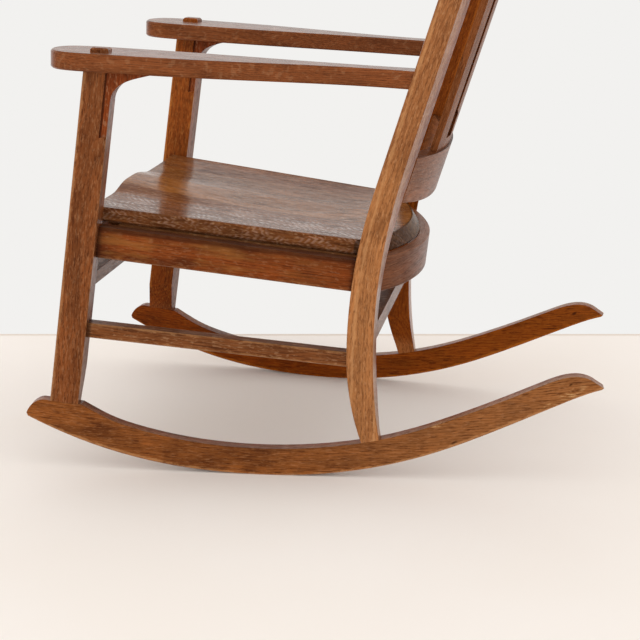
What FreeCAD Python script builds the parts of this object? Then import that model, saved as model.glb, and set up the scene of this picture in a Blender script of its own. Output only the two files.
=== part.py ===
import FreeCAD, Part
import math
import os
from FreeCAD import Vector as V

os.makedirs("parts", exist_ok=True)

# Overall stance: two flat side frames that close in toward the back
half_width = 238.0          # outer face of a side frame from the centre line, at mid depth
toe_in = 5.06               # degrees each side frame turns in toward the back
seat_slope = 6.5            # degrees the seat falls toward the back
fit_gap = 0.15              # play left round every tenon

# Rockers
rocker_radius = 1100.0      # sweep under the sitter
rocker_front_radius = 700.0 # tighter sweep toward the front tip
rocker_back_radius = 700.0  # tighter sweep toward the tail
rocker_touch_y = -60.0      # where the runner touches the floor at rest
front_turn = 5.0            # degrees of sweep before the front radius takes over
back_turn = 0.4             # degrees of sweep before the back radius takes over
rocker_thick = 20.0
rocker_arris = 1.0          # softened edges along the runner
rocker_front_y = -419.0
rocker_back_y = 422.2
tail_start_y = 190.0        # where the runner turns from its sweep into the tail
tail_tip_z = 146.6
tip_slope = 0.29            # turn of the under edge at the tip, radians
pad_front_y = -396.0        # flat the front post stands on
pad_back_y = -337.0
pad_front_z = 107.1
pad_back_z = 101.0
# the runner's top edge from the cove to the tail, and its under edge in the tail: back and up
runner_top = [(-316.4, 89.3), (-295.6, 78.8), (-253.8, 64.7), (-211.8, 54.8), (-148.9, 45.2),
              (-65.0, 40.9), (18.4, 45.6), (121.5, 64.8), (179.7, 83.7), (237.2, 106.7), (294.1, 131.6),
              (336.2, 151.1), (360.0, 160.9), (384.0, 165.2), (402.0, 161.6), (414.5, 154.0)]
tail_under = [(266.6, 77.8), (334.1, 109.8), (378.5, 130.9)]
front_nose = [(-408.4, 102.2), (-416.8, 93.6)]

# Front posts
post_thick = 36.0
post_arris = 1.2            # softened long edges of the posts
front_post_foot_y = -399.6  # front arris carried down to the floor
front_post_lean = 8.37
front_post_width = 42.4
foot_taper_z = 156.0

# Rear posts
rear_post_thick = 35.0
rear_post_front_y = 54.3
rear_post_back_y = 92.4
rear_post_waist_z = 185.0
rear_post_lean = 17.55
rear_post_bend_z = 416.0    # level at which the straight upper part is measured
rear_post_bend_y = 88.7     # its front arris there
rear_post_upper_width = 31.2
rear_post_foot_kick = 20.3
rear_post_heel_kick = 11.6
rear_post_foot_z = 67.0
rear_post_top_z = 886.0
back_bevel = 13.0           # how far the rear face runs back across its thickness

# Seat rails and stretchers
rail_height = 46.0
rail_thick = 24.0
rail_inset = 13.0
rail_top_z = 332.6          # top of the seat frame at mid depth
tenon_long = 17.0
tenon_thick = 10.0
stretcher_height = 22.0
stretcher_thick = 22.0
stretcher_inset = 8.0
stretcher_front_z = 213.5
stretcher_slope = 5.2
front_stretcher_z = 287.5
front_stretcher_depth = 28.0
front_stretcher_height = 20.0
rear_stretcher_z = 214.0
rear_stretcher_depth = 30.0
rear_stretcher_height = 23.0

# Bent apron behind the seat
apron_bow = 55.0
apron_end_y = 90.0
apron_thick = 17.0
apron_height = 52.0

# Plank seat
seat_thick = 23.0
seat_inset = 46.0
seat_front_y = -324.0
seat_reveal = 14.0          # apron top left showing behind the plank
seat_boards = 5
seat_front_bow = 8.0        # how far the front edge swells forward at the middle
seat_round = 7.0            # radius along the top of the plank's side edges
seat_edge_slant = 18.0      # how far the rear edge draws in from bottom to top
dish_depth = 11.5           # hollow at its deepest
thigh_depth = 7.0           # hollows left and right of the ridge at the front
cleat_width = 34.0
cleat_back_y = 71.0
cleat_height = 22.0
seat_screw_dia = 4.5

# Back
back_half = half_width - 45.0   # half the chord of the bent rails
back_bow = 31.4
back_end_y = 146.4          # outer face of the lower rail where it meets the posts
back_end_z = 470.5          # its top edge at the posts
back_rail_thick = 18.0
lower_rail_height = 67.0
lower_rail_belly = 9.0      # how far its lower edge drops at the middle
crest_height = 76.0
crest_rise = 20.0
post_top_show = 17.8        # how far the post tops stand above the crest, measured up the back
splat_half = 103.0
splat_thick = 10.0
splat_tongue = 9.0
slot_edge = 65.0
slot_width = 22.0
slot_foot_width = 42.0
slot_foot_low = 16.0
slot_foot_high = 58.0
slot_top_gap = 74.0         # wood left between the slots and the crest

# Arms
arm_under_front_z = 590.0   # underside over the front post
arm_slope = 2.8
arm_thick = 25.0
arm_front_over = 52.0
arm_outer_over = 15.0
arm_width = 96.0
arm_back_width = 58.0
post_tenon_depth = 26.0
post_tenon_thick = 22.0
post_tenon_show = 6.0
corbel_let_in = 10.5
corbel_low_z = 497.0
corbel_reach = 58.0
corbel_thick = 33.0

# Dowels that pin the posts to the rockers
dowel_dia = 11.0
dowel_long = 44.0

slope = math.tan(math.radians(seat_slope))
back_up = (rear_post_top_z - back_end_z) / math.cos(math.radians(rear_post_lean))
crest_end_up = back_up - post_top_show
slot_top = crest_end_up - crest_height - slot_top_gap
lean = math.tan(math.radians(rear_post_lean))
front_lean = math.tan(math.radians(front_post_lean))
toe = math.tan(math.radians(toe_in))
toe_cos = math.cos(math.radians(toe_in))


def yz(y, z, x=0.0):
    return V(x, y, z)


def left(shape):
    out = shape.copy()
    out.rotate(V(0, 0, 0), V(0, 0, 1), toe_in)
    out.translate(V(half_width, 0, 0))
    return out


def right(shape):
    return left(shape).mirror(V(0, 0, 0), V(1, 0, 0))


def line(a, b):
    return Part.makeLine(a, b)


def arc(a, b, c):
    return Part.Arc(a, b, c).toShape()


def curve(points, start=None, end=None):
    spline = Part.BSplineCurve()
    if start is None:
        spline.interpolate(points)
    else:
        spline.interpolate(Points=points, InitialTangent=start, FinalTangent=end)
    return spline.toShape()


def prism(edges, depth):
    return Part.Face(Part.Wire(edges)).extrude(depth)


def polygon(points, depth):
    return Part.Face(Part.makePolygon(points + [points[0]])).extrude(depth)


def box(x0, x1, y0, y1, z0, z1):
    return Part.makeBox(x1 - x0, y1 - y0, z1 - z0, V(x0, y0, z0))


def ease(shape, size, test):
    edges = [e for e in shape.Edges if test(e)]
    if not edges:
        return shape
    return shape.makeChamfer(size, edges)


def join(a, b):
    return a.fuse(b).removeSplitter()


def between(inset):
    # the space between the two side frames, a given depth in from their outer faces
    far = 700.0
    wide = half_width + far * toe - inset / toe_cos
    narrow = half_width - far * toe - inset / toe_cos
    floor = [V(wide, -far, -50), V(-wide, -far, -50), V(-narrow, far, -50), V(narrow, far, -50)]
    return polygon(floor, V(0, 0, 1300))


def seat_plane(y):
    return rail_top_z - slope * y


def front_post_y(z):
    return front_post_foot_y + front_lean * z


def rear_post_y(z):
    # front arris of the straight upper part of a rear post
    return rear_post_bend_y + lean * (z - rear_post_bend_z)


# Rocker outline
def sweep(turn):
    # a point of the runner's floor side, turned round its sweep
    start, radius = 0.0, rocker_radius
    if turn > math.radians(back_turn):
        start, radius = math.radians(back_turn), rocker_back_radius
    if turn < -math.radians(front_turn):
        start, radius = -math.radians(front_turn), rocker_front_radius
    centre_y = rocker_touch_y + (rocker_radius - radius) * math.sin(start)
    centre_z = rocker_radius - (rocker_radius - radius) * math.cos(start)
    return yz(centre_y + radius * math.sin(turn), centre_z - radius * math.cos(turn))


def turn_at(y):
    low, high = -0.7, 0.7
    for step in range(50):
        mid = (low + high) / 2.0
        if sweep(mid).y < y:
            low = mid
        else:
            high = mid
    return low


def sweep_edges(first, last):
    stops = [first, -math.radians(front_turn), math.radians(back_turn), last]
    edges = []
    for a, b in zip(stops[:-1], stops[1:]):
        edges.append(arc(sweep(a), sweep((a + b) / 2), sweep(b)))
    return edges


def runner_top_z(y):
    # height of the runner's top edge between two of its stations
    for (y0, z0), (y1, z1) in zip(runner_top[:-1], runner_top[1:]):
        if y0 <= y <= y1:
            return z0 + (z1 - z0) * (y - y0) / (y1 - y0)
    return pad_back_z


def rocker():
    first = turn_at(rocker_front_y)
    last = turn_at(tail_start_y)
    low_front = sweep(first)
    low_tail = sweep(last)
    tip = yz(rocker_back_y - 3.2, tail_tip_z)
    end = yz(rocker_back_y, tail_tip_z + 2.4)
    nose = yz(rocker_front_y - 1.8, low_front.z + 5.0)
    pad_back = yz(pad_back_y, pad_back_z)
    pad_front = yz(pad_front_y, pad_front_z)
    tail = [low_tail] + [yz(y, z) for y, z in tail_under] + [tip]
    spread = tip.y - low_tail.y
    tail_dir = yz(math.cos(last), math.sin(last)) * spread
    tip_dir = yz(math.cos(tip_slope), math.sin(tip_slope)) * spread
    edges = sweep_edges(first, last)
    edges.append(curve(tail, tail_dir, tip_dir))
    edges.append(line(tip, end))
    edges.append(curve([pad_back] + [yz(y, z) for y, z in runner_top] + [end]))
    edges.append(line(pad_back, pad_front))
    edges.append(curve([pad_front] + [yz(y, z) for y, z in front_nose] + [nose]))
    edges.append(line(nose, low_front))
    outline = Part.Wire(Part.__sortEdges__(edges))
    return Part.Face(outline).extrude(V(-rocker_thick, 0, 0))


def softened(shape, size, thick):
    # eases the outline edges of a flat sawn piece on both of its faces
    def rim(e):
        flat = e.BoundBox.XLength < 0.01
        return flat and (abs(e.BoundBox.XMin) < 0.01 or abs(e.BoundBox.XMin + thick) < 0.01)
    return ease(shape, size, rim)


# Front post, leaning back, with its foot thinned to the rocker
def corbel_outline():
    low = corbel_low_z
    top = arm_underside(front_post_y(arm_under_front_z) + front_post_width)
    y_low = front_post_y(low) + front_post_width
    y_top = front_post_y(top) + front_post_width
    back_top = y_top + corbel_reach
    z_back = arm_underside(back_top)
    z_front = arm_underside(y_top - corbel_let_in)
    let_low = yz(y_low - corbel_let_in, low)
    let_top = yz(front_post_y(z_front) + front_post_width - corbel_let_in, z_front)
    swell = yz(front_post_y(low + 50.0) + front_post_width, low + 50.0)
    rear_low = yz(y_low, low + 2.0)
    rear_top = yz(back_top, z_back)
    edges = [line(let_low, rear_low), line(rear_low, swell)]
    edges.append(curve([swell, rear_top], yz(8.0, 60.0), yz(70.0, 18.0)))
    edges.append(line(rear_top, let_top))
    edges.append(line(let_top, let_low))
    return edges


def arm_underside(y):
    y_front = front_post_y(arm_under_front_z) + front_post_width / 2.0
    return arm_under_front_z - math.tan(math.radians(arm_slope)) * (y - y_front)


def corbel():
    inset = (post_thick - corbel_thick) / 2.0
    body = prism(corbel_outline(), V(-corbel_thick, 0, 0))
    body.translate(V(-inset, 0, 0))
    return body.cut(arm_under_cut())


def corbel_notch():
    return prism(corbel_outline(), V(-post_thick - 4.0, 0, 0)).translated(V(2.0, 0, 0))


def front_post_blank():
    low = 60.0
    y_low = front_post_y(low)
    high = 660.0
    y_high = front_post_y(high)
    side = [yz(y_low, low), yz(y_low + front_post_width, low),
            yz(y_high + front_post_width, high), yz(y_high, high)]
    body = polygon(side, V(-post_thick, 0, 0))
    body = ease(body, post_arris, lambda e: e.Length > 500)
    under = arm_under_cut()
    body = body.cut(under)
    thin = [V(-post_thick, -600, foot_taper_z), V(-post_thick - 5, -600, foot_taper_z),
            V(-post_thick - 5, -600, 40.0), V(-rocker_thick + 1.0, -600, 60.0),
            V(-rocker_thick, -600, 104.0)]
    body = body.cut(polygon(thin, V(0, 500, 0)))
    return body


def arm_under_cut():
    # everything above the underside of the arm
    a = yz(-600.0, arm_underside(-600.0))
    b = yz(400.0, arm_underside(400.0))
    return polygon([a, b, yz(400.0, 900.0), yz(-600.0, 900.0)], V(-300, 0, 0)).translated(V(150, 0, 0))


def post_top_tenon():
    mid_y = front_post_y(arm_under_front_z) + front_post_width / 2.0
    mid_x = -post_thick / 2.0
    tall = arm_thick + post_tenon_show
    tenon = box(mid_x - post_tenon_thick / 2, mid_x + post_tenon_thick / 2,
                mid_y - post_tenon_depth / 2, mid_y + post_tenon_depth / 2, -12.0, tall)
    top_edges = lambda e: e.BoundBox.ZMin > tall - 0.01
    tenon = ease(tenon, 2.5, top_edges)
    tenon.translate(V(0, 0, arm_under_front_z))
    tenon.rotate(V(mid_x, mid_y, arm_under_front_z), V(1, 0, 0), -arm_slope)
    return tenon


# Rear post, a ruled shape whose rear face turns to follow the bowed back
def rear_post_side(x, back_shift):
    waist = rear_post_waist_z
    foot_z = rear_post_foot_z - 16.0
    foot_y = rear_post_front_y + rear_post_foot_kick + 3.0
    top = rear_post_top_z
    pitch = math.radians(rear_post_lean)
    half = math.tan(pitch / 2.0)

    def side_edges(waist_y, upper_y, foot):
        # upper_y is where the straight upper arris crosses the level it is measured at
        corner = rear_post_bend_z - (upper_y - waist_y) / lean
        reach = corner - waist
        radius = reach / half
        end_z = corner + reach * math.cos(pitch)
        end_y = waist_y + reach * math.sin(pitch)
        half_turn = pitch / 2.0
        mid = yz(waist_y + radius * (1 - math.cos(half_turn)), waist + radius * math.sin(half_turn), x)
        start = yz(waist_y, waist, x)
        end = yz(end_y, end_z, x)
        tip = yz(upper_y + lean * (top - rear_post_bend_z), top, x)
        drop = waist - foot_z
        kick = foot - waist_y
        foot_radius = (drop ** 2 + kick ** 2) / (2 * kick)
        foot_mid_z = waist - drop / 2.0
        foot_mid = waist_y + foot_radius - math.sqrt(foot_radius ** 2 - (drop / 2.0) ** 2)
        bottom = yz(foot, foot_z, x)
        low = arc(bottom, yz(foot_mid, foot_mid_z, x), start)
        return [low, arc(start, mid, end), line(end, tip)], bottom, tip

    front, front_low, front_top = side_edges(rear_post_front_y, rear_post_bend_y, foot_y)
    back_upper = rear_post_bend_y + rear_post_upper_width
    even = rear_post_thick * toe
    shift_low = back_shift / back_bevel * even
    back, back_low, back_top = side_edges(rear_post_back_y + shift_low, back_upper + back_shift,
                                          rear_post_back_y + rear_post_heel_kick + shift_low)
    edges = front + [line(front_top, back_top)] + back[::-1] + [line(back_low, front_low)]
    return Part.Wire(Part.__sortEdges__(edges))


def rear_post_blank():
    outer = rear_post_side(0.0, 0.0)
    inner = rear_post_side(-rear_post_thick, back_bevel)
    body = Part.makeLoft([outer, inner], True, True)
    body = ease(body, post_arris, lambda e: e.BoundBox.XLength < 0.01 and e.Length > 60)
    cut = box(-100, 100, -10, 120, 0, 80)
    cut.rotate(V(0, 0, 0), V(1, 0, 0), -rear_post_lean)
    cut.translate(V(0, rear_post_y(rear_post_top_z), rear_post_top_z - 12.0))
    body = body.cut(cut)
    thin = [V(-rear_post_thick, -200, 128.0), V(-rear_post_thick - 5, -200, 128.0),
            V(-rear_post_thick - 5, -200, 30.0), V(-rocker_thick, -200, 40.0),
            V(-rocker_thick, -200, 72.0)]
    body = body.cut(polygon(thin, V(0, 500, 0)))
    return body


# A straight member along a side frame: shoulders on both posts, tenons into them
def frame_bar(inset, thick, height, z_at, tilt, y_mid, grow=0.0):
    # bar and its tenon stick in the side frame's own coordinates
    run = 420.0
    bar = box(-inset - thick, -inset, -run, run, -height / 2, height / 2)
    mid = -inset - thick / 2
    half_t = tenon_thick / 2 + grow
    half_h = height / 2 - 5.0 + grow
    stick = box(mid - half_t, mid + half_t, -run, run, -half_h, half_h)
    out = []
    for shape in (bar, stick):
        shape.rotate(V(0, 0, 0), V(1, 0, 0), -tilt)
        shape.translate(V(0, y_mid, z_at))
        out.append(shape)
    return out


def span(front_offset, rear_offset):
    # the slab of space from the front post's rear face to the rear post's front face
    low, high = 40.0, 520.0
    a = yz(front_post_y(low) + front_post_width - front_offset, low)
    b = yz(front_post_y(high) + front_post_width - front_offset, high)
    pitch = math.radians(rear_post_lean)
    corner = rear_post_bend_z - (rear_post_bend_y - rear_post_front_y) / lean
    reach = corner - rear_post_waist_z
    radius = reach / math.tan(pitch / 2.0)
    half_turn = pitch / 2.0
    mid_y = rear_post_front_y + radius * (1 - math.cos(half_turn))
    mid_z = rear_post_waist_z + radius * math.sin(half_turn)
    end_y = rear_post_front_y + reach * math.sin(pitch)
    end_z = corner + reach * math.cos(pitch)
    start = yz(rear_post_front_y + rear_offset, rear_post_waist_z)
    mid = yz(mid_y + rear_offset, mid_z)
    end = yz(end_y + rear_offset, end_z)
    drop = rear_post_waist_z - low
    foot_drop = rear_post_waist_z - (rear_post_foot_z - 16.0)
    kick = rear_post_foot_kick + 3.0
    foot_radius = (foot_drop ** 2 + kick ** 2) / (2 * kick)
    low_y = rear_post_front_y + foot_radius - math.sqrt(foot_radius ** 2 - drop ** 2)
    half_y = rear_post_front_y + foot_radius - math.sqrt(foot_radius ** 2 - (drop / 2) ** 2)
    bottom = yz(low_y + rear_offset, low)
    halfway = yz(half_y + rear_offset, rear_post_waist_z - drop / 2)
    edges = [line(a, bottom), arc(bottom, halfway, start), arc(start, mid, end), line(end, b), line(b, a)]
    return prism(edges, V(-400, 0, 0)).translated(V(200, 0, 0))


def side_member(inset, thick, height, z_at, tilt, y_mid):
    bar, stick = frame_bar(inset, thick, height, z_at, tilt, y_mid)
    loose = frame_bar(inset, thick, height, z_at, tilt, y_mid, fit_gap)[1]
    body = join(bar.common(span(0, 0)), stick.common(span(tenon_long, tenon_long - 3.0)))
    mortise = loose.common(span(tenon_long + 1.0, tenon_long - 2.0))
    return body, mortise


# A straight member from side to side: shoulders on the posts' inner faces
def cross_bar(y_mid, z_mid, depth, height, tilt, inner, tenon_deep):
    run = 400.0
    bar = box(-run, run, -depth / 2, depth / 2, -height / 2, height / 2)
    half_d = tenon_deep / 2
    half_h = height / 2 - 4.0
    stick = box(-run, run, -half_d, half_d, -half_h, half_h)
    loose = box(-run, run, -half_d - fit_gap, half_d + fit_gap, -half_h - fit_gap, half_h + fit_gap)
    for shape in (bar, stick, loose):
        shape.rotate(V(0, 0, 0), V(1, 0, 0), tilt)
        shape.translate(V(0, y_mid, z_mid))
    body = join(bar.common(between(inner)), stick.common(between(inner - tenon_long)))
    mortise = loose.common(between(inner - tenon_long - 1.0))
    return body, mortise


# A bowed member of the back or seat: an arc band standing on a tilted plane
def bow_band(end_half, bow, end_y, end_z, tilt, inset, thick, low, high):
    radius = (end_half ** 2 + bow ** 2) / (2 * bow)
    outer = radius - inset
    inner = outer - thick
    wide = end_half + 45.0

    def at(r, x):
        return V(x, math.sqrt(r ** 2 - x ** 2) - (radius - bow), 0)

    sweep = [arc(at(outer, -wide), at(outer, 0), at(outer, wide)),
             line(at(outer, wide), at(inner, wide)),
             arc(at(inner, wide), at(inner, 0), at(inner, -wide)),
             line(at(inner, -wide), at(outer, -wide))]
    band = prism(sweep, V(0, 0, high - low))
    band.translate(V(0, 0, low))
    band.rotate(V(0, 0, 0), V(1, 0, 0), -tilt)
    band.translate(V(0, end_y, end_z))
    return band


def back_band(inset, thick, low, high):
    return bow_band(back_half, back_bow, back_end_y, back_end_z, rear_post_lean, inset, thick, low, high)


def apron_band(inset, thick, low, high):
    top = seat_plane(apron_end_y)
    return bow_band(back_half, apron_bow, apron_end_y, top, seat_slope, inset, thick, low, high)


def bowed_rail(maker, thick, low, high, tenon, edge):
    inner = rear_post_thick
    side = (thick - tenon) / 2.0
    body = maker(0.0, thick, low, high).common(between(inner))
    stick = maker(side, tenon, low + edge, high - edge).common(between(inner - tenon_long))
    loose = maker(side - fit_gap, tenon + 2 * fit_gap, low + edge - fit_gap, high - edge + fit_gap)
    return body, stick, loose.common(between(inner - tenon_long - 1.0))


def up_the_back(shape):
    out = shape.copy()
    out.rotate(V(0, 0, 0), V(1, 0, 0), -rear_post_lean)
    out.translate(V(0, back_end_y, back_end_z))
    return out


# Straight tenons on the ends of the bent apron
def apron_tenons(grow):
    low = 7.0 - apron_height - grow
    high = -7.0 + grow
    stick = box(-400, 400, apron_end_y - 11.0 - grow, apron_end_y - 2.5 + grow, low, high)
    stick.translate(V(0, -apron_end_y, 0))
    stick.rotate(V(0, 0, 0), V(1, 0, 0), -seat_slope)
    stick.translate(V(0, apron_end_y, seat_plane(apron_end_y)))
    stick = stick.common(between(rear_post_thick - 15.0 - grow))
    return stick.cut(between(rear_post_thick + 9.0))


# Crest rail with a slow arch along its top
def crest_shape(body):
    half = back_half + 47.0
    low = crest_end_up - crest_height - 60.0
    top_side = crest_end_up - crest_rise * 0.45
    window = [line(V(-half, -200, low), V(half, -200, low)),
              line(V(half, -200, low), V(half, -200, top_side)),
              arc(V(half, -200, top_side), V(0, -200, crest_end_up + crest_rise), V(-half, -200, top_side)),
              line(V(-half, -200, top_side), V(-half, -200, low))]
    return body.common(up_the_back(prism(window, V(0, 400, 0))))


# Lower rail with its under edge dropped at the middle
def belly(body):
    half = back_half + 47.0
    low = -lower_rail_height + lower_rail_belly * 0.4
    window = [line(V(-half, -200, 40), V(half, -200, 40)),
              line(V(half, -200, 40), V(half, -200, low)),
              arc(V(half, -200, low), V(0, -200, -lower_rail_height - lower_rail_belly), V(-half, -200, low)),
              line(V(-half, -200, low), V(-half, -200, 40))]
    return body.common(up_the_back(prism(window, V(0, 400, 0))))


# Pierced splat, bent to the same bow
def splat_slot(sign):
    near = sign * slot_edge
    foot = sign * (slot_edge - slot_foot_width)
    neck = sign * (slot_edge - slot_width)
    soft = 9.0
    edges = [V(near, -200, slot_foot_low), V(foot, -200, slot_foot_low),
             V(foot, -200, slot_foot_high - soft), V(neck, -200, slot_foot_high),
             V(neck, -200, slot_top), V(near, -200, slot_top)]
    return up_the_back(polygon(edges, V(0, 400, 0)))


# Saddled plank
def seat_half(y):
    return half_width - toe * y - seat_inset / toe_cos


def seat_drop(u, v):
    # depth of the saddle below the flat plank: u runs from side to side, v from front to back
    ridge = math.exp(-(u / 0.30) ** 4) * max(0.0, 1.0 - v / 0.46) ** 1.4
    across = (1.0 - u ** 4) * (1.0 - 0.35 * u ** 2)
    along = 0.45 + 0.55 * math.sin(math.pi * min(0.5, 0.10 + 0.75 * v))
    rise = max(0.0, v - 0.62) / 0.38
    along = along * (1.0 - 0.9 * rise * rise * (3.0 - 2.0 * rise))
    front = thigh_depth * (1.0 - u ** 6) * math.exp(-(v / 0.26) ** 2)
    return (dish_depth * across * along + 0.3 * front) * (1.0 - ridge) + 0.4


def saddle_cutter():
    rows = []
    back = apron_end_y + apron_bow
    for i in range(15):
        y = seat_front_y - 20.0 + (back - seat_front_y + 40.0) * i / 14.0
        v = min(1.0, max(0.0, (y - seat_front_y) / (back - seat_front_y)))
        row = []
        for j in range(17):
            u = -1.0 + 2.0 * j / 16.0
            x = u * (seat_half(y) + 4.0)
            z = seat_plane(y) + seat_thick - seat_drop(u, v)
            row.append(V(x, y, z))
        rows.append(row)
    sheet = Part.BSplineSurface()
    sheet.interpolate(rows)
    return sheet.toShape().extrude(V(0, 0, 70))


def plank():
    above = polygon([yz(-400, seat_plane(-400)), yz(300, seat_plane(300)),
                     yz(300, seat_plane(300) + seat_thick), yz(-400, seat_plane(-400) + seat_thick)],
                    V(-700, 0, 0)).translated(V(350, 0, 0))
    # the plan outline: straight sides, a gently bowed front and the bow of the apron behind
    body = above.common(between(seat_inset))
    radius = (back_half ** 2 + apron_bow ** 2) / (2 * apron_bow)
    outer = radius - seat_reveal
    draw = seat_edge_slant / seat_thick
    disc = Part.makeCone(outer + 40 * draw, outer - 80 * draw, 120, V(0, 0, -40))
    disc.rotate(V(0, 0, 0), V(1, 0, 0), -seat_slope)
    rim_y = apron_end_y - (radius - apron_bow) * math.cos(math.radians(seat_slope))
    disc.translate(V(0, rim_y, seat_plane(rim_y)))
    corner = half_width - toe * seat_front_y - seat_inset / toe_cos
    back_y = apron_end_y - 60.0
    front = [arc(V(-corner, seat_front_y, 250), V(0, seat_front_y - seat_front_bow, 250),
                 V(corner, seat_front_y, 250)),
             line(V(corner, seat_front_y, 250), V(corner, back_y, 250)),
             line(V(corner, back_y, 250), V(-corner, back_y, 250)),
             line(V(-corner, back_y, 250), V(-corner, seat_front_y, 250))]
    ahead = prism(front, V(0, 0, 300))
    rear = disc.common(box(-400, 400, back_y - 1.0, 400, 100, 700))
    return body.common(ahead.fuse(rear).removeSplitter())


def edge_round():
    # what is planed off a side edge of the plank, in the side frame's coordinates
    top = seat_thick - 0.8
    body = box(-seat_inset - seat_round, -seat_inset + 2.0, -420.0, 220.0, top - seat_round, top + 6.0)
    axis = V(-seat_inset - seat_round, -430.0, top - seat_round)
    body = body.cut(Part.makeCylinder(seat_round, 660.0, axis, V(0, 1, 0)))
    body.rotate(V(0, 0, 0), V(1, 0, 0), -seat_slope)
    body.translate(V(0, 0, rail_top_z))
    return body


def eased_plank():
    body = plank()

    def under(e):
        return all(abs(p.z - seat_plane(p.y)) < 0.05 for p in e.discretize(4))

    body = ease(body, 3.5, under)
    body = body.cut(saddle_cutter())
    tool = edge_round()
    return body.cut(left(tool)).cut(right(tool))


def seat_pieces():
    body = eased_plank()
    half = seat_half(seat_front_y) + 9.0
    step = 2 * half / seat_boards
    out = []
    for i in range(seat_boards):
        x0 = -half + i * step
        out.append(body.common(box(x0, x0 + step, -600, 600, 0, 700)))
    return out


# Cleats the plank is screwed to
def side_cleat():
    inner = rail_inset + rail_thick
    body = box(-inner - cleat_width, -inner, -282.0, cleat_back_y, -cleat_height, 0.0)
    body.rotate(V(0, 0, 0), V(1, 0, 0), -seat_slope)
    body.translate(V(0, 0, rail_top_z))
    return body


def front_cleat(y_face):
    half = half_width - 88.0
    body = box(-half, half, 0.0, 22.0, -cleat_height, 0.0)
    body.rotate(V(0, 0, 0), V(1, 0, 0), -seat_slope)
    body.translate(V(0, y_face, seat_plane(y_face)))
    return body


def seat_screw_spots():
    spots = []
    inner = rail_inset + rail_thick + cleat_width - 9.0
    for y in (-235.0, -115.0, 5.0):
        x = half_width - toe * y - inner / toe_cos
        spots.append((x, y))
        spots.append((-x, y))
    for x in (-90.0, 90.0):
        spots.append((x, seat_front_y + 20.0))
    return spots


def wood_screw(point, direction, long, dia):
    # countersunk head, shank and short tapered point, turned about its axis
    outline = [V(0, 0, 0), V(dia, 0, 0), V(dia / 2, 0, dia * 0.6), V(dia / 2, 0, long - dia),
               V(0.8, 0, long), V(0, 0, long)]
    body = Part.Face(Part.makePolygon(outline + [outline[0]])).revolve(V(0, 0, 0), V(0, 0, 1), 360)
    turn = FreeCAD.Rotation(V(0, 0, 1), direction)
    body.Placement = FreeCAD.Placement(point, turn)
    return body


# Arm, broad over the front post and drawn in toward the back
def arm():
    outer = arm_outer_over
    inner = outer - arm_width
    back_inner = outer - 6.0 - arm_back_width
    front_y = front_post_y(arm_under_front_z) - arm_front_over
    back_y = 190.0
    centre = (outer + inner) / 2.0
    back_out = V(outer - 6.0, back_y, 0)
    back_in = V(back_inner, back_y, 0)
    outline = [back_out, V(outer - 1.0, front_y + 210.0, 0), V(outer, front_y + 70.0, 0),
               V(outer - 14.0, front_y + 12.0, 0), V(centre, front_y, 0),
               V(inner + 14.0, front_y + 12.0, 0), V(inner, front_y + 70.0, 0),
               V(inner + 6.0, front_y + 190.0, 0), V(back_inner - 3.0, front_y + 390.0, 0), back_in]
    edges = [curve(outline), line(back_in, back_out)]
    body = prism(edges, V(0, 0, arm_thick))
    rim = lambda g: abs(g.BoundBox.ZLength) < 0.01 and g.Length > 300
    body = ease(body, 2.2, rim)
    y_front = front_post_y(arm_under_front_z) + front_post_width / 2.0
    body.translate(V(0, -y_front, 0))
    body.rotate(V(0, 0, 0), V(1, 0, 0), -arm_slope)
    body.translate(V(0, y_front, arm_under_front_z))
    behind = polygon([yz(rear_post_y(500.0), 500), yz(rear_post_y(700.0), 700), yz(400, 700), yz(400, 500)],
                     V(-400, 0, 0)).translated(V(200, 0, 0))
    return body.cut(behind)


def arm_tenon(grow):
    z = arm_underside(140.0) + arm_thick / 2.0
    y = rear_post_y(z)
    mid = -rear_post_thick / 2.0
    body = box(mid - 9.0 - grow, mid + 9.0 + grow, -20.0, 13.0 + grow, -6.0 - grow, 6.0 + grow)
    body.rotate(V(0, 0, 0), V(1, 0, 0), -arm_slope)
    body.translate(V(0, y, z))
    return body


def foot_dowel(y, z, tilt):
    body = Part.makeCylinder(dowel_dia / 2, dowel_long, V(0, 0, -dowel_long / 2))
    body.rotate(V(0, 0, 0), V(1, 0, 0), -tilt)
    body.translate(V(-rocker_thick / 2, y, z))
    return body


def save(shape, name):
    solid = shape
    if len(shape.Solids) == 1:
        solid = shape.Solids[0]
    solid.exportStep("parts/" + name + ".step")


def pair(shape, name):
    save(left(shape), name + "_left")
    save(right(shape), name + "_right")


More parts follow.
